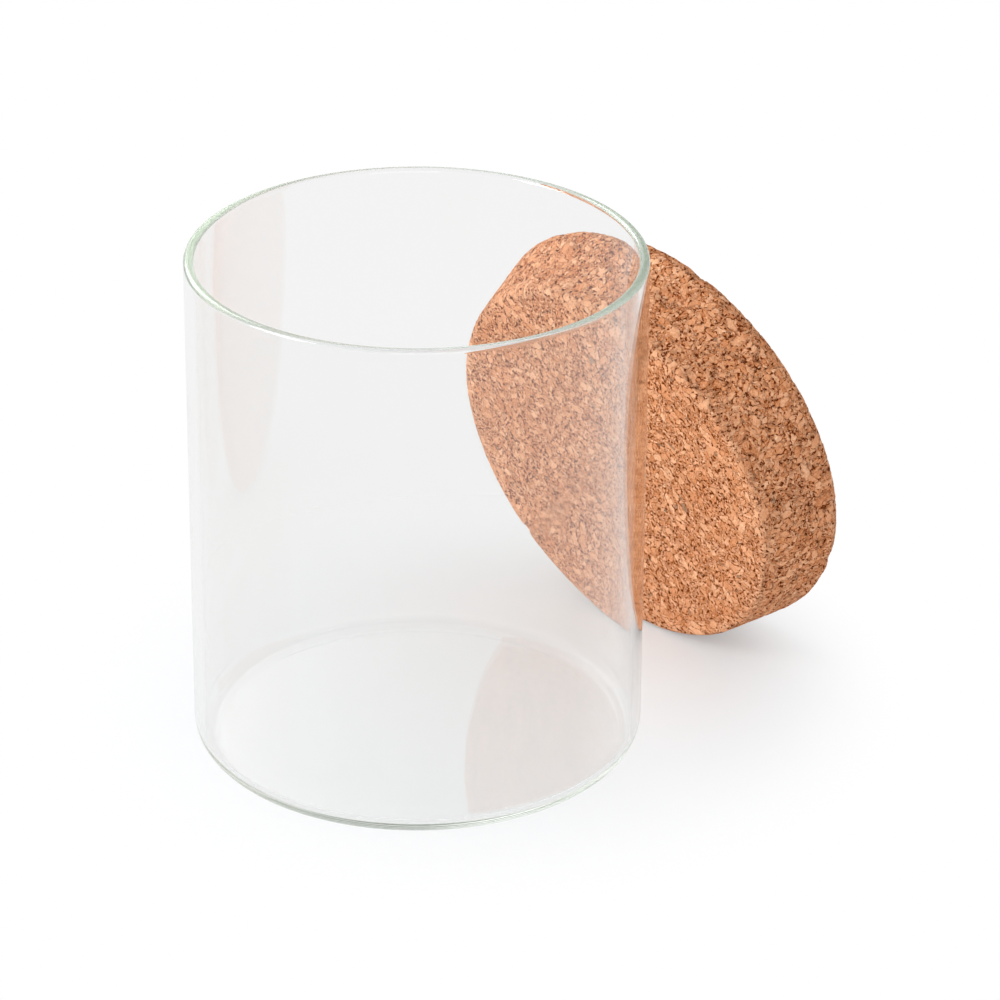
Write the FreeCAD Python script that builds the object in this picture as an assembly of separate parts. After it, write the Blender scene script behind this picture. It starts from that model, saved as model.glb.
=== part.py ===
import FreeCAD, Part
import math
import os

# Straight-sided glass storage jar with a tapered cork lid. The lid is taken off: it lies on its
# conical side on the table, with the upper edge of its small end leaning on the jar's wall.
# Millimetres, +Z up. The origin is the middle of the jar's base and +X points at the lid.

# Driving dimensions of the jar
jar_diameter = 100.0
jar_height = 116.0
wall_thickness = 2.2
floor_thickness = 3.0
heel_radius = 6.0
inner_heel_radius = 2.5

# Driving dimensions of the lid. Its taper is set by how loosely the small end enters the mouth
# and how far the large end stands out over the mouth's edge, both measured on the radius.
lid_thickness = 22.6
lid_entry_gap = 1.3
lid_overhang = 4.5
lid_small_rounding = 1.5
lid_large_rounding = 5.0

# Clearance between the leaning lid and the jar's wall
lean_clearance = 0.3

# Sizes that follow from them
jar_radius = jar_diameter / 2.0
mouth_radius = jar_radius - wall_thickness
lip_radius = wall_thickness / 2.0
lid_small_radius = mouth_radius - lid_entry_gap
lid_large_radius = mouth_radius + lid_overhang
lid_taper = math.atan2(lid_large_radius - lid_small_radius, lid_thickness)

vertical = FreeCAD.Vector(0, 0, 1)
across = FreeCAD.Vector(0, 1, 0)
base_centre = FreeCAD.Vector(0, 0, 0)
same_height = 1e-6


def point(radius, height):
    """A point of a turned profile: its distance from the axis and its height."""
    return FreeCAD.Vector(radius, 0, height)


def line(start, end):
    """A straight stretch of a profile."""
    return Part.LineSegment(start, end).toShape()


def arc(start, centre, radius, degrees, end):
    """A round stretch of a profile, through the point that lies at an angle from its centre."""
    angle = math.radians(degrees)
    middle = centre + point(radius * math.cos(angle), radius * math.sin(angle))
    return Part.Arc(start, middle, end).toShape()


def turned(edges):
    """The solid that a closed profile sweeps in a full turn about the vertical axis."""
    return Part.Face(Part.Wire(edges)).revolve(base_centre, vertical, 360)


def make_jar():
    """A plain cylinder of even wall, with a rounded heel and a lip melted to a full round."""
    lip_height = jar_height - lip_radius
    inner_floor_radius = mouth_radius - inner_heel_radius
    inner_heel_height = floor_thickness + inner_heel_radius

    base_edge = point(jar_radius - heel_radius, 0)
    heel_top = point(jar_radius, heel_radius)
    lip_outside = point(jar_radius, lip_height)
    lip_inside = point(mouth_radius, lip_height)
    inner_heel_top = point(mouth_radius, inner_heel_height)
    floor_edge = point(inner_floor_radius, floor_thickness)
    floor_centre = point(0, floor_thickness)

    heel_centre = point(jar_radius - heel_radius, heel_radius)
    lip_centre = point(mouth_radius + lip_radius, lip_height)
    inner_heel_centre = point(inner_floor_radius, inner_heel_height)
    return turned([
        line(base_centre, base_edge),
        arc(base_edge, heel_centre, heel_radius, -45, heel_top),
        line(heel_top, lip_outside),
        arc(lip_outside, lip_centre, lip_radius, 90, lip_inside),
        line(lip_inside, inner_heel_top),
        arc(inner_heel_top, inner_heel_centre, inner_heel_radius, -45, floor_edge),
        line(floor_edge, floor_centre),
        line(floor_centre, base_centre),
    ])


def rim(solid, height):
    """The round edge of a turned solid at a height, picked by where its middle lies."""
    return [edge for edge in solid.Edges if abs(edge.CenterOfMass.z - height) < same_height]


def make_lid():
    """A solid tapered disc, small end down, with a slight rounding there and a full one on top."""
    lid = Part.makeCone(lid_small_radius, lid_large_radius, lid_thickness)
    lid = lid.makeFillet(lid_small_rounding, rim(lid, 0))
    return lid.makeFillet(lid_large_rounding, rim(lid, lid_thickness))


def lean(lid):
    """Lay the lid on its conical side, which lifts its axis by the taper, against the jar."""
    setback = lid_small_rounding / math.tan(math.pi / 4.0 + lid_taper / 2.0)
    rounding_radius = lid_small_radius - setback
    reach = (rounding_radius * math.sin(lid_taper)
             - lid_small_rounding * math.cos(lid_taper) + lid_small_rounding)
    lid.rotate(base_centre, across, 90.0 - math.degrees(lid_taper))
    lid.translate(point(jar_radius + lean_clearance + reach, lid_small_radius * math.cos(lid_taper)))
    return lid


os.makedirs("parts", exist_ok=True)
make_jar().exportStep("parts/glass_jar.step")
lean(make_lid()).exportStep("parts/cork_lid.step")
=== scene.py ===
"""Dress the glass jar with its cork lid: clear drawn glass, pressed cork granules, a white table."""
import math

import bpy
from mathutils import Matrix, Vector


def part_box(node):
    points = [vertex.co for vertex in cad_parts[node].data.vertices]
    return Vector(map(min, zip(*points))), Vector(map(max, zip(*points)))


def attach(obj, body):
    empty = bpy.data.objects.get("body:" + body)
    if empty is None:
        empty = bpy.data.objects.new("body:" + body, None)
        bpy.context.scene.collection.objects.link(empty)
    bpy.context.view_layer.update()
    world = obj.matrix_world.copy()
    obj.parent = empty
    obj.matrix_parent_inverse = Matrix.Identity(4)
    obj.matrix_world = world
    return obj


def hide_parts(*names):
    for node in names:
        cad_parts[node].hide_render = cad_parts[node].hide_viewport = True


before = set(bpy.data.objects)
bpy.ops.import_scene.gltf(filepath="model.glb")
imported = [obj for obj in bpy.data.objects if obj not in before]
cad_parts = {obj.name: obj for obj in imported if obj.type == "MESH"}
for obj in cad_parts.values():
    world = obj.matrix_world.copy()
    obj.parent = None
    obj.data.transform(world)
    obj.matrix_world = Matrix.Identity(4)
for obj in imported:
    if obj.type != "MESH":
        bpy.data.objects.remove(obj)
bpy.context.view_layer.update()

bl_info = {
    "name": "Glass Jar with Cork Lid",
    "version": (1, 0, 0),
    "blender": (4, 5, 0),
    "location": "3D View > Sidebar > Jar",
    "description": "Builds a drawn glass jar and its pressed cork lid around the packed solids",
    "category": "Object",
}

MILLIMETRE = 0.001
JAR_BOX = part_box("glass_jar")
LID_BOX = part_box("cork_lid")

# Directions in a turned profile, as degrees for its arcs and as facings for its straight stretches
DOWNWARD = -90.0
OUTWARD = 0.0
UPWARD = 90.0
INWARD = 180.0
FACING_DOWN = (0.0, -1.0)
FACING_OUT = (1.0, 0.0)
FACING_UP = (0.0, 1.0)
FACING_IN = (-1.0, 0.0)

# Where rings of points lie along the jar's straight stretches, and the steps of its arcs
BASE_RINGS = (0.3, 0.6, 0.85)
WALL_RINGS = (0.2, 0.4, 0.6, 0.8)
HEEL_STEPS = 12
LIP_STEPS = 16
INNER_HEEL_STEPS = 10

# Steps of the lid's arcs, and of the straight side between them
SMALL_EDGE_STEPS = 5
LARGE_EDGE_STEPS = 16
SIDE_STEPS = 36

# Waves in the glass to a metre, round it and up it
WAVES = (40.0, 40.0, 9.0)

# Noise in the glass: patches to a unit, detail and roughness
WAVE_NOISE = (1.0, 1.0, 0.5)
SMUDGE_NOISE = (55.0, 4.0, 0.6)

# Noise at which smudges start, and at which they are full
SMUDGE_STEP = (0.5, 0.75)

# Mean of the random values that noise and cells give
RANDOM_MEAN = 0.5

# How the cork's patterns make up a granule's tone, and where its colours stand along that tone
TONE_START = 0.17
TONE_SHARE = 0.62
TONE_GRAIN = 1.4
TONE_FLECK = 0.5
TONE_STOPS = (0.0, 0.16, 0.5, 0.84, 1.0)

# How strongly other patterns colour the cork, and the smooth steps that bound them
GREY_STEP = (0.982, 0.988)
GREY_SHARE = 0.75
CLOUD_NOISE = (0.12, 2.0, 0.5)
CLOUD_STEP = (0.3, 0.7, 0.95, 1.04)
SEAM_SHADE = 0.14
# Share of the painted shade beside the gaps
GAP_SHADE_SHARE = 0.85
BRIGHT_STEP = (0.36, 0.42)
BRIGHT_SHARE = 0.3
# Share of the lighter band round the small end's rim, which is wear and a painted highlight
WORN_AND_HIGHLIT_SHARE = 0.3
HOLLOW_SHARE = 0.95
ROUGH_STEP = (0.3, 0.7, 0.8, 0.95)

# Heights in the cork's fine texture, as shares of its depth
GRAIN_HEIGHT = 0.5
FLECK_HEIGHT = 0.5
SEAM_DEPTH = 0.4
CRUMB_HEIGHT = 0.4

# How far up a direction points where the ceiling starts and where it is full, and how closely it points
# at the card where the window starts and where it is full
CEILING_STEP = (0.45, 0.9)
WINDOW_STEP = (0.8, 0.97)

# Width of the camera's sensor in millimetres, and how far the camera sees in metres
SENSOR_WIDTH = 36.0
CLIP_END = 50.0

WHITE = (1.0, 1.0, 1.0)
TABLE_SEGMENTS = 96

# Bounces that light needs on its way through the lip
BOUNCES = 160


def length(name, description, default):
    """A size in metres that a user may change."""
    return bpy.props.FloatProperty(
        name=name,
        description=description,
        default=default,
        min=0.0,
        precision=5,
        unit="LENGTH",
    )


def lengths(name, description, default):
    """A place or a few sizes in metres that a user may change."""
    return bpy.props.FloatVectorProperty(
        name=name,
        description=description,
        default=default,
        size=len(default),
        precision=5,
        unit="LENGTH",
    )


def colour(name, description, default):
    """A colour that a user may change."""
    return bpy.props.FloatVectorProperty(
        name=name,
        description=description,
        default=default,
        size=3,
        min=0.0,
        max=1.0,
        subtype="COLOR",
    )


def number(name, description, default, smallest=0.0, largest=100.0):
    """A plain number that a user may change."""
    return bpy.props.FloatProperty(
        name=name,
        description=description,
        default=default,
        min=smallest,
        max=largest,
    )


def power(name, description, default):
    """The power of a lamp in watts that a user may change."""
    return number(name, description, default, 0.0, 1000.0)


def count(name, description, default, smallest):
    """A whole number that a user may change."""
    return bpy.props.IntProperty(
        name=name,
        description=description,
        default=default,
        min=smallest,
    )


def angle(name, description, degrees):
    """An angle that a user may change."""
    return bpy.props.FloatProperty(
        name=name,
        description=description,
        default=math.radians(degrees),
        subtype="ANGLE",
    )


class JarSettings(bpy.types.PropertyGroup):
    """Sizes and glass of the jar."""

    radius: length("Radius", "Outside radius of the wall", JAR_BOX[1].x)
    height: length("Height", "Height from the table to the lip", JAR_BOX[1].z)
    wall: length("Wall", "Thickness of the wall", 0.0022)
    floor: length("Floor", "Thickness of the floor", 0.003)
    heel: length("Heel", "Rounding outside where wall and base meet", 0.006)
    inner_heel: length("Inner heel", "Rounding inside where wall and floor meet", 0.0025)
    segments: count("Segments", "Faces round the jar", 256, 32)
    clear_glass: colour("Clear glass", "What one wall lets through", (0.978, 0.98, 0.978))
    shadow_glass: colour("Shadow glass", "What a wall lets through in shadows", (0.992, 0.993, 0.992))
    deep_glass: colour("Deep glass", "Tint that builds up along the lip and base", (0.41, 0.58, 0.34))
    depth: number("Depth of tint", "How fast the tint builds up, per metre", 2.0)
    bending: number("Bending", "Refractive index of the glass", 1.47, 1.0, 2.0)
    waves: number("Waves", "Strength of the faint waves left by drawing", 0.08)
    wave_depth: length("Wave depth", "Depth of those waves", 0.0004)
    smudges: number("Smudges", "Roughness where the glass was handled", 0.05)


class LidSettings(bpy.types.PropertyGroup):
    """Sizes and cork of the lid."""

    thickness: length("Thickness", "Thickness of the lid", 0.0226)
    small_radius: length("Small radius", "Radius of the end that enters the mouth", 0.0465)
    large_radius: length("Large radius", "Radius of the end that stays above the rim", 0.0523)
    small_rounding: length("Small rounding", "Rounding of the small end's edge", 0.0015)
    large_rounding: length("Large rounding", "Rounding of the large end's edge", 0.005)
    grid: count("Grid", "Faces across each flat end", 168, 16)
    relief: length("Relief", "Depth of the deepest pits and gaps", 0.00045)
    unevenness: length("Unevenness", "How far granules differ in height", 0.0002)
    chipping: length("Chipping", "Depth of the granules that broke out", 0.0010)
    smooth_end: number("Smooth end", "How much shallower the relief is on the small end", 0.6)
    texture: length("Texture", "Depth of the fine texture, which only shows in the light", 0.0003)
    gloss: number("Gloss", "How much light the cork mirrors", 0.05)
    dark_granule: colour("Dark granule", "Few dark brown granules", (0.41, 0.14, 0.05))
    brown_granule: colour("Brown granule", "Browner of the common granules", (0.55, 0.216, 0.09))
    tan_granule: colour("Tan granule", "Common tan granules", (0.67, 0.313, 0.16))
    light_granule: colour("Light granule", "Lighter of the common granules", (0.735, 0.392, 0.226))
    pale_granule: colour("Pale granule", "Few palest granules", (0.78, 0.48, 0.30))
    grey_granule: colour("Grey granule", "Rare granules of bark", (0.22, 0.15, 0.10))
    # Painted shade: the reddish brown darkening beside the gaps, where the granules turn down into them
    gap_shade_colour: colour("Gap rim", "Reddish brown where granules turn down to a gap", (0.45, 0.108, 0.02))
    gap: colour("Gap", "Gaps and pits between granules", (0.13, 0.025, 0.003))


class StageSettings(bpy.types.PropertyGroup):
    """The camera, the light and the table.

    A lamp's place says how far it is to the right of the jar, away from the camera and up.
    """

    azimuth: angle("Azimuth", "Where the camera stands round the jar", -44.65)
    elevation: angle("Elevation", "How far the camera looks down", 26.335)
    roll: angle("Roll", "How far the camera is turned about its view", 0.355)
    distance: length("Distance", "From the camera to the point it looks at", 1.04974)
    aim_right: length("Aim to the right", "Aimed point, to the right of the jar's axis", 0.01814)
    aim_height: length("Aim height", "Aimed point, above the table", 0.05733)
    lens: number("Lens", "Focal length on a 36 mm sensor, in millimetres", 172.12, 1.0, 1000.0)
    table: colour("Table", "Colour of the table as it shows", (0.498, 0.51, 0.522))
    table_bounce: colour("Table bounce", "Colour of the light the table throws back", (0.86, 0.86, 0.86))
    table_glow: number("Table glow", "Light added so that the unshaded table is white", 0.25)
    table_radius: length("Table radius", "Radius of the round table", 1.5)
    table_drop: length("Table drop", "How far the table lies under the jar's base", 0.0002)
    shade_middle: lengths("Shade middle", "Middle of the shaded part of the table", (0.023, 0.007, 0.0))
    shade_reach: lengths("Shade reach", "Where shade starts to fade, and where it ends", (0.05, 0.1))
    glass_white: number("White in glass", "How white the surroundings look through glass", 0.92)
    ceiling: number("Ceiling", "How bright the ceiling looks in gloss and glass", 0.35)
    window: number("Window", "Brightness added in gloss and glass where the card stands", 1.6)
    ambient: number("Ambient", "Light from all round on dull surfaces", 0.87)
    lit_place: lengths("Lit place", "Point that the lamps face", (0.03, 0.0, 0.05))
    key_place: lengths("Key place", "Place of the lamp at the left", (-1.35, -0.45, 0.85))
    key_size: lengths("Key size", "Width and height of the lamp at the left", (0.8, 0.8))
    key_power: power("Key power", "Power of the lamp at the left, in watts", 19.0)
    card_place: lengths("Card place", "Place of the tall card behind", (-0.64, 0.77, 0.65))
    card_size: lengths("Card size", "Width and height of the tall card behind", (0.5, 0.8))
    card_power: power("Card power", "Power of the tall card behind, in watts", 5.5)
    fill_place: lengths("Fill place", "Place of the lamp in front", (0.2, -1.5, 0.55))
    fill_size: lengths("Fill size", "Width and height of the lamp in front", (1.0, 1.0))
    fill_power: power("Fill power", "Power of the lamp in front, in watts", 4.0)


class Wire:
    """A socket of a node tree. Sums on it add the Math or Vector Math nodes that work them out."""

    def __init__(self, nodes, socket):
        self.nodes = nodes
        self.socket = socket

    def output(self, name):
        """Another output of the same node."""
        return Wire(self.nodes, self.socket.node.outputs[name])

    def __add__(self, other):
        return self.nodes.sum("ADD", self, other)

    def __radd__(self, other):
        return self.nodes.sum("ADD", other, self)

    def __sub__(self, other):
        return self.nodes.sum("SUBTRACT", self, other)

    def __rsub__(self, other):
        return self.nodes.sum("SUBTRACT", other, self)

    def __mul__(self, other):
        return self.nodes.sum("MULTIPLY", self, other)

    def __rmul__(self, other):
        return self.nodes.sum("MULTIPLY", other, self)

    def __truediv__(self, other):
        return self.nodes.sum("DIVIDE", self, other)

    def __rtruediv__(self, other):
        return self.nodes.sum("DIVIDE", other, self)

    def least(self, other):
        """The smaller of two values."""
        return self.nodes.sum("MINIMUM", self, other)

    def most(self, other):
        """The larger of two values."""
        return self.nodes.sum("MAXIMUM", self, other)


class Nodes:
    """The nodes of one tree, added by type, settings and sockets."""

    def __init__(self, tree):
        self.tree = tree
        self.tree.nodes.clear()

    def add(self, kind, settings=None, sockets=None, output=0):
        """Add a node: its settings are set first, then its sockets get values or links."""
        node = self.tree.nodes.new(kind)
        for name, value in (settings or {}).items():
            if name == "stops":
                self.set_stops(node.color_ramp, value)
            else:
                setattr(node, name, value)
        for name, value in (sockets or {}).items():
            self.feed(self.find(node.inputs, name), value)
        if len(node.outputs) == 0:
            return None
        return Wire(self, self.find(node.outputs, output))

    def find(self, sockets, name):
        """The socket of that name or number among those in use."""
        if isinstance(name, int):
            return [socket for socket in sockets if socket.enabled][name]
        for socket in sockets:
            if socket.enabled and socket.name == name:
                return socket
        raise KeyError("no socket named " + name)

    def feed(self, socket, value):
        """Link a wire into a socket, or set its value."""
        if isinstance(value, Wire):
            self.tree.links.new(value.socket, socket)
        elif socket.type == "RGBA" and len(value) == 3:
            socket.default_value = (value[0], value[1], value[2], 1.0)
        else:
            socket.default_value = value

    def set_stops(self, ramp, stops):
        """Give a colour ramp its stops, as pairs of place and colour."""
        while len(ramp.elements) > 1:
            ramp.elements.remove(ramp.elements[-1])
        for index, (place, shade) in enumerate(stops):
            stop = ramp.elements[0] if index == 0 else ramp.elements.new(place)
            stop.position = place
            stop.color = (shade[0], shade[1], shade[2], 1.0)

    def sum(self, operation, first, second):
        """One sum of two values or vectors, of which at least one is a wire."""
        vectors = [self.is_vector(term) for term in (first, second)]
        if not any(vectors):
            return self.add("ShaderNodeMath", {"operation": operation}, {0: first, 1: second})
        terms = [self.as_vector(term) for term in (first, second)]
        return self.add("ShaderNodeVectorMath", {"operation": operation}, {0: terms[0], 1: terms[1]})

    def is_vector(self, term):
        """True for a vector, a colour or a wire that carries one."""
        if isinstance(term, Wire):
            return term.socket.type in ("VECTOR", "RGBA")
        return not isinstance(term, (int, float))

    def as_vector(self, term):
        """A number is the same in all three directions."""
        return (term, term, term) if isinstance(term, (int, float)) else term

    def step(self, value, low, high, start=0.0, end=1.0):
        """A smooth step from start, where the value is at low, to end, where it is at high."""
        settings = {"interpolation_type": "SMOOTHSTEP"}
        sockets = {"Value": value, "From Min": low, "From Max": high, "To Min": start, "To Max": end}
        if low > high:
            sockets.update({"From Min": high, "From Max": low, "To Min": end, "To Max": start})
        return self.add("ShaderNodeMapRange", settings, sockets)

    def noise(self, place, scale, detail, roughness, output="Fac"):
        """Cloudy noise, whose patches are about one unit over scale across."""
        sockets = {"Vector": place, "Scale": scale, "Detail": detail, "Roughness": roughness}
        return self.add("ShaderNodeTexNoise", None, sockets, output)

    def cells(self, place, feature="F1", output="Color"):
        """Cells of about one unit, as a random colour each or a distance."""
        sockets = {"Vector": place, "Scale": 1.0}
        return self.add("ShaderNodeTexVoronoi", {"feature": feature}, sockets, output)

    def cell_edge(self, place):
        """How far a place is from the edge of its cell."""
        return self.cells(place, "DISTANCE_TO_EDGE", "Distance")

    def turn(self, place, axis, turns):
        """Turn a place round an axis through the middle, by an angle in radians."""
        settings = {"rotation_type": "AXIS_ANGLE"}
        return self.add("ShaderNodeVectorRotate", settings, {"Vector": place, "Axis": axis, "Angle": turns})

    def blend(self, share, first, second):
        """Mix two colours."""
        settings = {"data_type": "RGBA"}
        return self.add("ShaderNodeMix", settings, {"Factor": share, "A": first, "B": second})

    def size(self, wire):
        """The length of a vector."""
        return self.add("ShaderNodeVectorMath", {"operation": "LENGTH"}, {0: wire}, "Value")

    def dot(self, wire, vector):
        """How far a vector reaches along another."""
        settings = {"operation": "DOT_PRODUCT"}
        return self.add("ShaderNodeVectorMath", settings, {0: wire, 1: vector}, "Value")

    def part(self, wire, axis):
        """One of the three parts of a vector or colour."""
        return self.add("ShaderNodeSeparateXYZ", None, {"Vector": wire}, axis)


def arc(centre, radius, start, end, steps):
    """Points of a profile along a round corner, with the way each one faces."""
    points = []
    for index in range(steps + 1):
        turn = math.radians(start + (end - start) * index / steps)
        facing = (math.cos(turn), math.sin(turn))
        points.append((centre[0] + radius * facing[0], centre[1] + radius * facing[1], facing))
    return points


def jar_profile(jar):
    """Half the jar's outline, from under the base, up the wall, over the lip and down inside."""
    inside = jar.radius - jar.wall
    lip = jar.wall / 2.0
    lip_height = jar.height - lip
    heel_middle = (jar.radius - jar.heel, jar.heel)
    inner_middle = (inside - jar.inner_heel, jar.floor + jar.inner_heel)
    profile = [(0.0, 0.0, FACING_DOWN)]
    for share in BASE_RINGS:
        profile.append((heel_middle[0] * share, 0.0, FACING_DOWN))
    profile += arc(heel_middle, jar.heel, DOWNWARD, OUTWARD, HEEL_STEPS)
    for share in WALL_RINGS:
        profile.append((jar.radius, jar.heel + (lip_height - jar.heel) * share, FACING_OUT))
    profile += arc((inside + lip, lip_height), lip, OUTWARD, INWARD, LIP_STEPS)
    for share in reversed(WALL_RINGS):
        profile.append((inside, inner_middle[1] + (lip_height - inner_middle[1]) * share, FACING_IN))
    for radius, height, facing in arc(inner_middle, jar.inner_heel, OUTWARD, DOWNWARD, INNER_HEEL_STEPS):
        profile.append((radius, height, (-facing[0], -facing[1])))
    for share in reversed(BASE_RINGS):
        profile.append((inner_middle[0] * share, jar.floor, FACING_UP))
    profile.append((0.0, jar.floor, FACING_UP))
    return profile


def turned_mesh(name, profile, segments):
    """A mesh that turns a profile round the vertical axis, with the profile's own normals."""
    points = []
    normals = []
    rings = []
    for radius, height, facing in profile:
        points_round = 1 if radius == 0.0 else segments
        rings.append([len(points) + index for index in range(points_round)])
        for index in range(points_round):
            turn = 2.0 * math.pi * index / segments
            across = (math.cos(turn), math.sin(turn))
            points.append((radius * across[0], radius * across[1], height))
            normals.append((facing[0] * across[0], facing[0] * across[1], facing[1]))
    faces = []
    for lower, upper in zip(rings, rings[1:]):
        for index in range(segments):
            after = (index + 1) % segments
            corners = [lower[index % len(lower)], lower[after % len(lower)]]
            corners += [upper[after % len(upper)], upper[index % len(upper)]]
            faces.append(list(dict.fromkeys(corners)))
    mesh = bpy.data.meshes.new(name)
    mesh.from_pydata(points, [], faces)
    mesh.shade_smooth()
    mesh.normals_split_custom_set_from_vertices(normals)
    return mesh


def show(name, mesh, material):
    """A piece of that mesh and material, shown in the scene."""
    piece = bpy.data.objects.new(name, mesh)
    bpy.context.scene.collection.objects.link(piece)
    piece.data.materials.append(material)
    return piece


def new_material(name):
    """An empty material and its nodes."""
    material = bpy.data.materials.new(name)
    material.use_nodes = True
    return material, Nodes(material.node_tree)


def drawn_glass(jar):
    """Clear glass: faint waves from drawing, a trace of handling, and a green tint in its depth."""
    material, nodes = new_material("clear_glass")
    place = nodes.add("ShaderNodeTexCoord", None, None, "Object")
    surface = nodes.add("ShaderNodeBump", None, {
        "Strength": jar.waves,
        "Distance": jar.wave_depth,
        "Height": nodes.noise(place * WAVES, *WAVE_NOISE),
    })
    handling = nodes.noise(place, *SMUDGE_NOISE)
    glass = nodes.add("ShaderNodeBsdfPrincipled", None, {
        "Base Color": tuple(jar.clear_glass),
        "Roughness": nodes.step(handling, *SMUDGE_STEP, 0.0, jar.smudges),
        "IOR": jar.bending,
        "Transmission Weight": 1.0,
        "Normal": surface,
    })
    clear = nodes.add("ShaderNodeBsdfTransparent", None, {"Color": tuple(jar.shadow_glass)})
    path = nodes.add("ShaderNodeLightPath", None, None, "Is Shadow Ray")
    lit = nodes.add("ShaderNodeMixShader", None, {0: path, 1: glass, 2: clear})
    seen = nodes.add("ShaderNodeMixShader", None, {0: path.output("Is Diffuse Ray"), 1: lit, 2: clear})
    depth = nodes.add("ShaderNodeVolumeAbsorption", None, {
        "Color": tuple(jar.deep_glass),
        "Density": jar.depth,
    })
    nodes.add("ShaderNodeOutputMaterial", None, {"Surface": seen, "Volume": depth})
    return material


def lid_taper(lid):
    """The angle between the lid's side and its axis."""
    return math.atan2(lid.large_radius - lid.small_radius, lid.thickness)


def small_flat_radius(lid):
    """The radius of the small end's flat face, inside its rounding."""
    return lid.small_radius - lid.small_rounding * math.tan(math.pi / 4.0 - lid_taper(lid) / 2.0)


def lid_placing(lid):
    """Where the lid lies: on its side, its axis raised by the taper, against the jar."""
    taper = lid_taper(lid)
    reach = small_flat_radius(lid) * math.sin(taper)
    reach += lid.small_rounding * (1.0 - math.cos(taper))
    middle = Vector((LID_BOX[0].x + reach, 0.0, lid.small_radius * math.cos(taper)))
    return Matrix.Translation(middle) @ Matrix.Rotation(math.pi / 2.0 - taper, 4, "Y")


def lid_profile(lid):
    """The lid's side from the small end's flat edge to the large end's, as radius and height."""
    taper = lid_taper(lid)
    lean = math.degrees(taper)
    large_setback = lid.large_rounding * math.tan(math.pi / 4.0 + taper / 2.0)
    small_middle = (small_flat_radius(lid), lid.small_rounding)
    large_middle = (lid.large_radius - large_setback, lid.thickness - lid.large_rounding)
    outline = arc(small_middle, lid.small_rounding, DOWNWARD, -lean, SMALL_EDGE_STEPS)
    top = arc(large_middle, lid.large_rounding, -lean, UPWARD, LARGE_EDGE_STEPS)
    start = outline[-1]
    end = top[0]
    for index in range(1, SIDE_STEPS):
        share = index / SIDE_STEPS
        radius = start[0] + (end[0] - start[0]) * share
        outline.append((radius, start[1] + (end[1] - start[1]) * share, None))
    outline += top
    return [(radius, height) for radius, height, facing in outline]


def disc_place(column, row, grid):
    """A place on a unit disc for a square grid's corner, with faces of even size."""
    across = 2.0 * column / grid - 1.0
    along = 2.0 * row / grid - 1.0
    if across == 0.0 and along == 0.0:
        return (0.0, 0.0)
    if abs(across) > abs(along):
        turn = math.pi / 4.0 * along / across
        return (across * math.cos(turn), across * math.sin(turn))
    turn = math.pi / 4.0 * across / along
    return (along * math.sin(turn), along * math.cos(turn))


def rim_walk(grid):
    """The corners round a square grid, in turn."""
    walk = [(column, 0) for column in range(grid)]
    walk += [(grid, row) for row in range(grid)]
    walk += [(column, grid) for column in range(grid, 0, -1)]
    walk += [(0, row) for row in range(grid, 0, -1)]
    return walk


def lid_mesh(lid):
    """The lid as an even net of small faces: two flat ends and the side between their rims."""
    grid = lid.grid
    walk = rim_walk(grid)
    outline = lid_profile(lid)
    points = []
    faces = []

    def add_point(column, row, radius, height):
        """Lay one point of a ring or a flat end."""
        across, along = disc_place(column, row, grid)
        points.append((radius * across, radius * along, height))

    def flat_end(radius, height, upward):
        """Lay one flat end and give its rim's points."""
        first = len(points)
        for row in range(grid + 1):
            for column in range(grid + 1):
                add_point(column, row, radius, height)
        for row in range(grid):
            for column in range(grid):
                corner = first + row * (grid + 1) + column
                face = [corner, corner + 1, corner + grid + 2, corner + grid + 1]
                faces.append(face if upward else face[::-1])
        return [first + row * (grid + 1) + column for column, row in walk]

    below = flat_end(*outline[0], False)
    above = flat_end(*outline[-1], True)
    rings = [below]
    for radius, height in outline[1:-1]:
        rings.append([len(points) + index for index in range(len(walk))])
        for column, row in walk:
            add_point(column, row, radius, height)
    rings.append(above)
    for lower, upper in zip(rings, rings[1:]):
        for index in range(len(walk)):
            after = (index + 1) % len(walk)
            faces.append([lower[index], lower[after], upper[after], upper[index]])
    placing = lid_placing(lid)
    mesh = bpy.data.meshes.new("cork_lid")
    mesh.from_pydata([placing @ Vector(point) for point in points], [], faces)
    mesh.shade_smooth()
    return mesh


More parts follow.
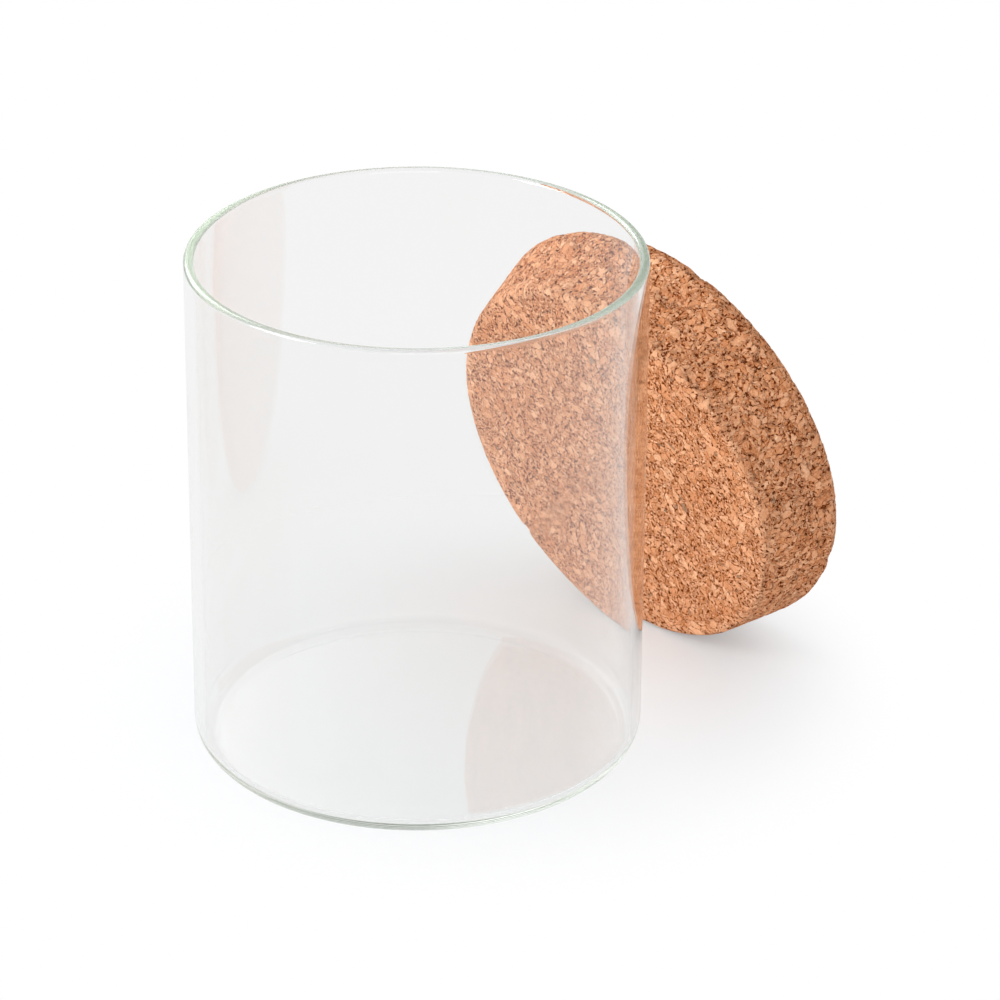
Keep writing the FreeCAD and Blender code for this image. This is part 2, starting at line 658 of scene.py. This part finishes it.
class Cork:
    """The pattern of pressed granules in the cork, the same for its relief and its colour.

    Granules are flakes, some of them broken into crumbs. Lengths are in millimetres, angles in radians.
    """

    # Cells to a millimetre, along a granule's own three axes or the same all round
    flake_cells = (0.27, 0.52, 0.66)
    crumb_cells = (0.5, 0.9, 1.1)
    fleck_cells = (1.7, 2.9, 3.6)
    grain_cells = (0.4, 3.0, 4.6)
    patch_cells = 0.25
    pit_cells = 1.05
    chunk_cells = 0.2

    # Shifts that keep the nets of cells from lining up
    crumb_shift = 7.3
    fleck_shift = 2.9
    pit_shift = 3.1
    chunk_shift = 11.7

    # Cloudy noise: patches to a millimetre, detail and roughness
    loose_noise = (0.55, 1.0, 0.5)
    fine_noise = (2.2, 2.0, 0.6)
    grain_noise = (1.0, 3.0, 0.65)
    fleck_noise = (0.5, 1.0, 0.5)
    open_noise = (1.3, 2.0, 0.55)

    # How far noise bends the pattern, and the largest turns that chance gives to granules and grain
    loose_bend = 1.6
    fine_bend = 0.6
    grain_bend = 0.5
    granule_turn = 12.0
    grain_turn = 20.0

    # Distances in flake cells are divided by this. An edge that isn't there counts as far off
    flake_scale = 0.53
    far_off = 5.0

    # Smooth steps: where they start and end, then the values there if these aren't 0 and 1
    inner_heights = (0.9, 0.2)
    # Where the lighter band round the small rim lies: wear and a painted highlight
    worn_and_highlit_heights = (2.4, 0.8)
    worn_and_highlit_margins = (2.6, 0.8)
    broken_step = (0.44, 0.50)
    fleck_step = (0.35, 0.65, 0.35, 1.0)
    open_step = (0.43, 0.66, -0.09, 0.15)
    gap_step = (0.0, 0.035)
    # Where the painted shade beside the gaps starts and ends
    gap_shade_step = (-0.16, 0.02)
    seam_step = (0.13, 0.0)
    pit_size_step = (0.76, 1.0, 0.0, 0.27)
    pit_step = (0.0, 0.08)
    chip_step = (0.86, 0.9)
    chip_edge_step = (0.02, 0.16)

    def __init__(self, nodes, place, lid):
        """Work the pattern out at a place that is given in metres, in the row's frame."""
        self.nodes = nodes
        middle = tuple(lid_placing(lid).translation)
        upright = nodes.turn(place - middle, (0.0, 1.0, 0.0), lid_taper(lid) - math.pi / 2.0)
        self.spot = upright / MILLIMETRE
        loose = nodes.noise(self.spot, *self.loose_noise, "Color") - RANDOM_MEAN
        self.fine = nodes.noise(self.spot, *self.fine_noise, "Color") - RANDOM_MEAN
        self.bent = self.spot + loose * self.loose_bend + self.fine * self.fine_bend
        patch = nodes.cells(self.bent * self.patch_cells)
        turns = nodes.part(patch, "X") * self.granule_turn
        self.leaning = nodes.turn(self.bent, patch - RANDOM_MEAN, turns)
        self.find_small_end_and_highlit_rim(lid.small_radius / MILLIMETRE)
        self.find_granules()
        self.find_grain()
        self.find_gaps()
        self.find_pits()
        self.find_chips()

    def find_small_end_and_highlit_rim(self, edge_radius):
        """The flat small end, and the band round its rim that is made lighter, as wear and a painted
        highlight.
        """
        nodes = self.nodes
        height = nodes.part(self.spot, "Z")
        across = nodes.size(self.spot * (1.0, 1.0, 0.0))
        near_edge = [edge_radius - margin for margin in self.worn_and_highlit_margins]
        self.inner = nodes.step(height, *self.inner_heights)
        self.worn_and_highlit = nodes.step(height, *self.worn_and_highlit_heights) * nodes.step(across, *near_edge)

    def find_granules(self):
        """Each granule's random values, and how near its edge is."""
        nodes = self.nodes
        flake_place = self.leaning * self.flake_cells
        crumb_place = self.leaning * self.crumb_cells + self.crumb_shift
        self.flake = nodes.cells(flake_place)
        self.crumb = nodes.cells(crumb_place)
        self.broken = nodes.step(nodes.part(self.flake, "Z"), *self.broken_step)
        flake_tone = nodes.part(self.flake, "X")
        crumb_tone = nodes.part(self.crumb, "X")
        self.tone = flake_tone + (crumb_tone - flake_tone) * self.broken
        self.oddity = nodes.part(self.crumb, "Y")
        flake_edge = nodes.cell_edge(flake_place) / self.flake_scale
        crumb_edge = nodes.cell_edge(crumb_place) + (1.0 - self.broken) * self.far_off
        self.nearest = flake_edge.least(crumb_edge)

    def find_grain(self):
        """Flecks, stronger in some places than in others, and the grain inside each flake."""
        nodes = self.nodes
        fleck_place = self.leaning * self.fleck_cells + self.fleck_shift
        fleck = nodes.part(nodes.cells(fleck_place), "X") - RANDOM_MEAN
        self.fleck = fleck * nodes.step(nodes.noise(self.spot, *self.fleck_noise), *self.fleck_step)
        turns = nodes.part(self.flake, "Y") * self.grain_turn
        bent = self.spot + self.fine * self.grain_bend
        grain_place = nodes.turn(bent, self.flake - RANDOM_MEAN, turns)
        self.grain = nodes.noise(grain_place * self.grain_cells, *self.grain_noise)

    def find_gaps(self):
        """Gaps along the granules' edges, a painted shade beside them, and the seams where granules touch.
        """
        nodes = self.nodes
        openness = nodes.noise(self.spot, *self.open_noise)
        reach = nodes.step(openness, *self.open_step) - self.nearest
        self.gap = nodes.step(reach, *self.gap_step)
        self.gap_shade = nodes.step(reach, *self.gap_shade_step)
        self.seam = nodes.step(self.nearest, *self.seam_step)

    def find_pits(self):
        """Small round pits, of chance sizes."""
        nodes = self.nodes
        place = (self.bent + self.fine * self.fine_bend) * self.pit_cells + self.pit_shift
        size = nodes.step(nodes.part(nodes.cells(place), "Y"), *self.pit_size_step)
        self.pit = nodes.step(size - nodes.cells(place, "F1", "Distance"), *self.pit_step)

    def find_chips(self):
        """Places where a whole granule broke out."""
        nodes = self.nodes
        place = self.bent * self.chunk_cells + self.chunk_shift
        chosen = nodes.step(nodes.part(nodes.cells(place), "Z"), *self.chip_step)
        self.chip = chosen * nodes.step(nodes.cell_edge(place), *self.chip_edge_step)


def cork_relief(lid):
    """Geometry nodes that press the granules' relief into the lid, always inwards."""
    tree = bpy.data.node_groups.new("cork_relief", "GeometryNodeTree")
    tree.interface.new_socket("Geometry", in_out="INPUT", socket_type="NodeSocketGeometry")
    tree.interface.new_socket("Geometry", in_out="OUTPUT", socket_type="NodeSocketGeometry")
    nodes = Nodes(tree)
    shape = nodes.add("NodeGroupInput")
    place = nodes.add("GeometryNodeInputPosition")
    outward = nodes.add("GeometryNodeInputNormal")
    cork = Cork(nodes, place, lid)
    share = 1.0 - cork.inner * lid.smooth_end
    hollows = cork.gap.most(cork.pit) * (lid.relief * share)
    steps = (1.0 - nodes.part(cork.flake, "Y")) * lid.unevenness * share
    chips = cork.chip * lid.chipping * share
    inward = outward * ((hollows + steps + chips) * -1.0)
    moved = nodes.add("GeometryNodeSetPosition", None, {"Geometry": shape, "Offset": inward})
    nodes.add("NodeGroupOutput", None, {"Geometry": moved})
    return tree


def press_relief(piece, tree):
    """Work geometry nodes into a piece's own mesh."""
    modifier = piece.modifiers.new("relief", "NODES")
    modifier.node_group = tree
    whole = piece.evaluated_get(bpy.context.evaluated_depsgraph_get())
    mesh = bpy.data.meshes.new_from_object(whole)
    piece.modifiers.clear()
    plain = piece.data
    piece.data = mesh
    mesh.name = plain.name
    bpy.data.meshes.remove(plain)
    bpy.data.node_groups.remove(tree)


def granule_colours(nodes, cork, lid):
    """The colour of each granule, from dark brown to pale tan, and grey for the rare ones of bark."""
    tone = cork.tone * TONE_SHARE + TONE_START
    tone = tone + (cork.grain - RANDOM_MEAN) * TONE_GRAIN + cork.fleck * TONE_FLECK
    shades = (lid.dark_granule, lid.brown_granule, lid.tan_granule, lid.light_granule, lid.pale_granule)
    stops = list(zip(TONE_STOPS, shades))
    granules = nodes.add("ShaderNodeValToRGB", {"stops": stops}, {"Fac": tone}, "Color")
    grey = nodes.step(cork.oddity, *GREY_STEP) * cork.broken
    return nodes.blend(grey * GREY_SHARE, granules, tuple(lid.grey_granule))


def pressed_cork(lid):
    """Agglomerated cork: granules from dark brown to pale tan, with grain, gaps and pits."""
    material, nodes = new_material("agglomerated_cork")
    place = nodes.add("ShaderNodeTexCoord", None, None, "Object")
    cork = Cork(nodes, place, lid)
    hollows = cork.gap.most(cork.pit)
    granules = granule_colours(nodes, cork, lid)
    cloud = nodes.noise(cork.spot, *CLOUD_NOISE)
    shade = nodes.step(cloud, *CLOUD_STEP) * (1.0 - cork.seam * SEAM_SHADE)
    # Painted shade: the cork turns reddish brown beside the gaps
    gap_shaded = nodes.blend(cork.gap_shade * GAP_SHADE_SHARE, granules * shade, tuple(lid.gap_shade_colour))
    bright = nodes.step(cork.fleck, *BRIGHT_STEP) * BRIGHT_SHARE
    flecked = nodes.blend(bright, gap_shaded, tuple(lid.pale_granule))
    # Wear and a painted highlight: a lighter band round the small end's rim
    worn_and_highlit = nodes.blend(cork.worn_and_highlit * WORN_AND_HIGHLIT_SHARE, flecked, tuple(lid.light_granule))
    height = cork.grain * GRAIN_HEIGHT + cork.fleck * FLECK_HEIGHT - cork.seam * SEAM_DEPTH - hollows
    height = height + nodes.part(cork.crumb, "Z") * cork.broken * CRUMB_HEIGHT
    surface = nodes.add("ShaderNodeBump", None, {
        "Strength": 1.0,
        "Distance": lid.texture,
        "Height": height,
    })
    skin = nodes.add("ShaderNodeBsdfPrincipled", None, {
        "Base Color": nodes.blend(hollows * HOLLOW_SHARE, worn_and_highlit, tuple(lid.gap)),
        "Roughness": nodes.step(cork.grain, *ROUGH_STEP),
        "Specular IOR Level": lid.gloss,
        "Normal": surface,
    })
    nodes.add("ShaderNodeOutputMaterial", None, {"Surface": skin})
    return material


class Studio:
    """Places in the studio, told as the camera sees them: to the right, away from it and up."""

    def __init__(self, stage):
        turn = stage.azimuth
        self.right = Vector((math.cos(turn), math.sin(turn), 0.0))
        self.away = Vector((-math.sin(turn), math.cos(turn), 0.0))
        self.up = Vector((0.0, 0.0, 1.0))
        self.aim = self.right * stage.aim_right + self.up * stage.aim_height
        self.target = self.place(*stage.lit_place)

    def place(self, right, away, up):
        """A place in the row's frame."""
        return self.right * right + self.away * away + self.up * up


def face_towards(item, place, target):
    """Put a camera or a lamp at a place, looking at a target."""
    item.location = place
    item.rotation_euler = (target - place).to_track_quat("-Z", "Y").to_euler()


def set_camera(stage, studio):
    """The camera at the photograph's viewing angle."""
    camera = bpy.data.objects.new("camera", bpy.data.cameras.new("camera"))
    bpy.context.scene.collection.objects.link(camera)
    camera.data.lens = stage.lens
    camera.data.sensor_width = SENSOR_WIDTH
    camera.data.clip_end = CLIP_END
    level = math.cos(stage.elevation) * stage.distance
    place = studio.aim - studio.away * level + studio.up * math.sin(stage.elevation) * stage.distance
    face_towards(camera, place, studio.aim)
    camera.rotation_euler.rotate_axis("Z", stage.roll)
    bpy.context.scene.camera = camera


def add_lamp(name, place, target, size, watts):
    """A rectangular soft lamp, seen neither by the camera nor through glass."""
    lamp = bpy.data.objects.new(name, bpy.data.lights.new(name, "AREA"))
    bpy.context.scene.collection.objects.link(lamp)
    lamp.data.shape = "RECTANGLE"
    lamp.data.size = size[0]
    lamp.data.size_y = size[1]
    lamp.data.energy = watts
    lamp.visible_camera = False
    lamp.visible_transmission = False
    face_towards(lamp, place, target)


def shown_ray(nodes, white):
    """Which rays show the surroundings, and how white: full for the camera, less in gloss or glass."""
    straight = nodes.add("ShaderNodeLightPath", None, None, "Is Camera Ray")
    gloss = straight.output("Is Glossy Ray")
    through = straight.output("Is Transmission Ray")
    return straight.most(gloss).most(through), straight.most(white)


def white_table(stage):
    """A pale table that keeps shadows near the jar and is plain white further out."""
    material, nodes = new_material("white_table")
    place = nodes.add("ShaderNodeTexCoord", None, None, "Object")
    far = nodes.size(place - tuple(stage.shade_middle))
    outside = nodes.step(far, *stage.shade_reach)
    seen, level = shown_ray(nodes, stage.glass_white)
    shade = nodes.blend(seen, tuple(stage.table_bounce), tuple(stage.table) * level)
    top = nodes.add("ShaderNodeBsdfDiffuse", None, {"Color": shade})
    added = seen * level * stage.table_glow
    glow = nodes.add("ShaderNodeEmission", None, {"Color": WHITE, "Strength": added})
    near = nodes.add("ShaderNodeAddShader", None, {0: top, 1: glow})
    white = nodes.add("ShaderNodeEmission", None, {"Color": WHITE, "Strength": level})
    whole = nodes.add("ShaderNodeMixShader", None, {0: outside * seen, 1: near, 2: white})
    nodes.add("ShaderNodeOutputMaterial", None, {"Surface": whole})
    return material


def lay_table(stage):
    """A round table, a hair under the jar and the lid."""
    outline = [(stage.table_radius, 0.0, FACING_UP), (0.0, 0.0, FACING_UP)]
    mesh = turned_mesh("table", outline, TABLE_SEGMENTS)
    top = show("white_table", mesh, white_table(stage))
    top.location.z = -stage.table_drop


def white_world(stage, studio):
    """White all round, softer on dull surfaces. Gloss and glass see a dark ceiling and a window in it."""
    world = bpy.data.worlds.new("studio")
    world.use_nodes = True
    nodes = Nodes(world.node_tree)
    direction = nodes.add("ShaderNodeTexCoord", None, None, "Generated")
    ceiling = nodes.step(nodes.part(direction, "Z"), *CEILING_STEP, stage.glass_white, stage.ceiling)
    card = studio.place(*stage.card_place)
    towards_card = nodes.dot(direction, tuple((card - studio.target).normalized()))
    window = nodes.step(towards_card, *WINDOW_STEP) * stage.window
    seen, level = shown_ray(nodes, ceiling + window)
    light = seen * (level - stage.ambient) + stage.ambient
    sky = nodes.add("ShaderNodeBackground", None, {"Color": WHITE, "Strength": light})
    nodes.add("ShaderNodeOutputWorld", None, {"Surface": sky})
    bpy.context.scene.world = world


class JAR_OT_glass_jar(bpy.types.Operator):
    """Turn the jar in clear glass"""

    bl_idname = "jar.glass_jar"
    bl_label = "Glass Jar"

    def execute(self, context):
        jar = context.scene.jar_settings
        if jar.wall * 2.0 >= jar.radius:
            raise ValueError("the wall leaves no room inside the jar")
        mesh = turned_mesh("glass_jar", jar_profile(jar), jar.segments)
        piece = show("drawn_glass_jar", mesh, drawn_glass(jar))
        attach(piece, "jar")
        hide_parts("glass_jar")
        return {"FINISHED"}


class JAR_OT_cork_lid(bpy.types.Operator):
    """Press the lid from cork granules"""

    bl_idname = "jar.cork_lid"
    bl_label = "Cork Lid"

    def execute(self, context):
        lid = context.scene.lid_settings
        if lid.large_radius <= lid.small_radius:
            raise ValueError("the lid has to widen towards its top")
        piece = show("pressed_cork_lid", lid_mesh(lid), pressed_cork(lid))
        press_relief(piece, cork_relief(lid))
        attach(piece, "lid")
        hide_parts("cork_lid")
        return {"FINISHED"}


class JAR_OT_stage(bpy.types.Operator):
    """Set the camera, the lamps and the white table"""

    bl_idname = "jar.stage"
    bl_label = "Stage"

    def execute(self, context):
        scene = context.scene
        stage = scene.stage_settings
        if stage.shade_reach[0] >= stage.shade_reach[1]:
            raise ValueError("the shade on the table has to fade outwards")
        studio = Studio(stage)
        set_camera(stage, studio)
        white_world(stage, studio)
        lamps = (
            ("key", stage.key_place, stage.key_size, stage.key_power),
            ("fill", stage.fill_place, stage.fill_size, stage.fill_power),
            ("card", stage.card_place, stage.card_size, stage.card_power),
        )
        for name, place, size, watts in lamps:
            add_lamp(name, studio.place(*place), studio.target, size, watts)
        lay_table(stage)
        scene.view_settings.view_transform = "Standard"
        scene.cycles.max_bounces = BOUNCES
        scene.cycles.glossy_bounces = BOUNCES
        scene.cycles.transmission_bounces = BOUNCES
        return {"FINISHED"}


class JAR_PT_panel(bpy.types.Panel):
    """Lists the jar's pieces and their settings"""

    bl_idname = "JAR_PT_panel"
    bl_label = "Glass Jar with Cork Lid"
    bl_space_type = "VIEW_3D"
    bl_region_type = "UI"
    bl_category = "Jar"

    def draw(self, context):
        for settings, operator in (
            ("jar_settings", "jar.glass_jar"),
            ("lid_settings", "jar.cork_lid"),
            ("stage_settings", "jar.stage"),
        ):
            box = self.layout.box()
            group = getattr(context.scene, settings)
            for name in group.__annotations__:
                box.prop(group, name)
            box.operator(operator)


CLASSES = (
    JarSettings,
    LidSettings,
    StageSettings,
    JAR_OT_glass_jar,
    JAR_OT_cork_lid,
    JAR_OT_stage,
    JAR_PT_panel,
)


def register():
    for item in CLASSES:
        bpy.utils.register_class(item)
    bpy.types.Scene.jar_settings = bpy.props.PointerProperty(type=JarSettings)
    bpy.types.Scene.lid_settings = bpy.props.PointerProperty(type=LidSettings)
    bpy.types.Scene.stage_settings = bpy.props.PointerProperty(type=StageSettings)


def unregister():
    del bpy.types.Scene.stage_settings
    del bpy.types.Scene.lid_settings
    del bpy.types.Scene.jar_settings
    for item in reversed(CLASSES):
        bpy.utils.unregister_class(item)


def main():
    register()
    bpy.ops.jar.glass_jar()
    bpy.ops.jar.cork_lid()
    bpy.ops.jar.stage()


if __name__ == "__main__":
    main()
